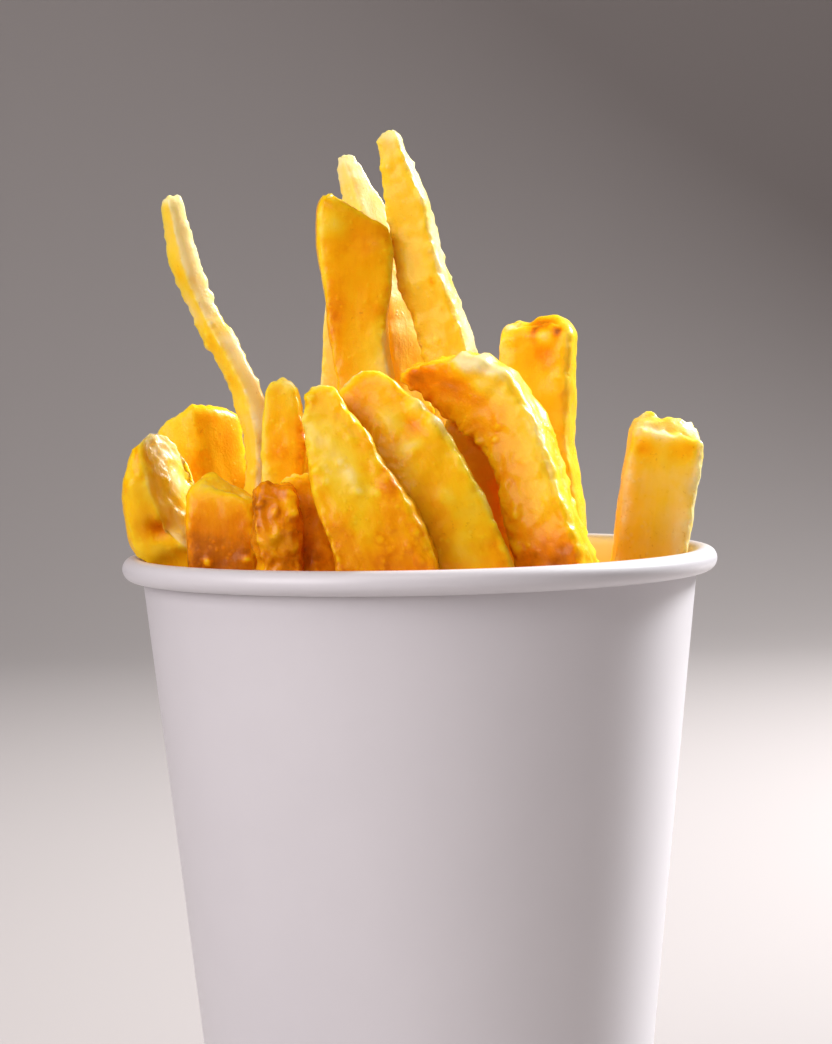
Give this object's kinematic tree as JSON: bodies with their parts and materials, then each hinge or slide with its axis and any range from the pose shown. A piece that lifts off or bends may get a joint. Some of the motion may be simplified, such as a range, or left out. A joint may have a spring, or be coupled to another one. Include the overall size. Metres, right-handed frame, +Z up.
{
  "type": "french fries in a round paper cup",
  "caption": "Thick-cut french fries standing in a plain round white paper cup with a rolled rim; takeaway food that stands on a table.",
  "frame": {"origin": "middle of the cup's foot, on the surface that it stands on", "axes": "+Z up along the cup's axis; -Y towards the side that is seen in the picture, +X to its right"},
  "size_m": [0.09, 0.09, 0.1741],
  "materials": {
    "cup_paper": "satin",
    "fried_potato": "satin"
  },
  "bodies": {
    "root": {"cup_wall": "cup_paper", "cup_base": "cup_paper", "fries": "fried_potato"}
  },
  "joints": []
}
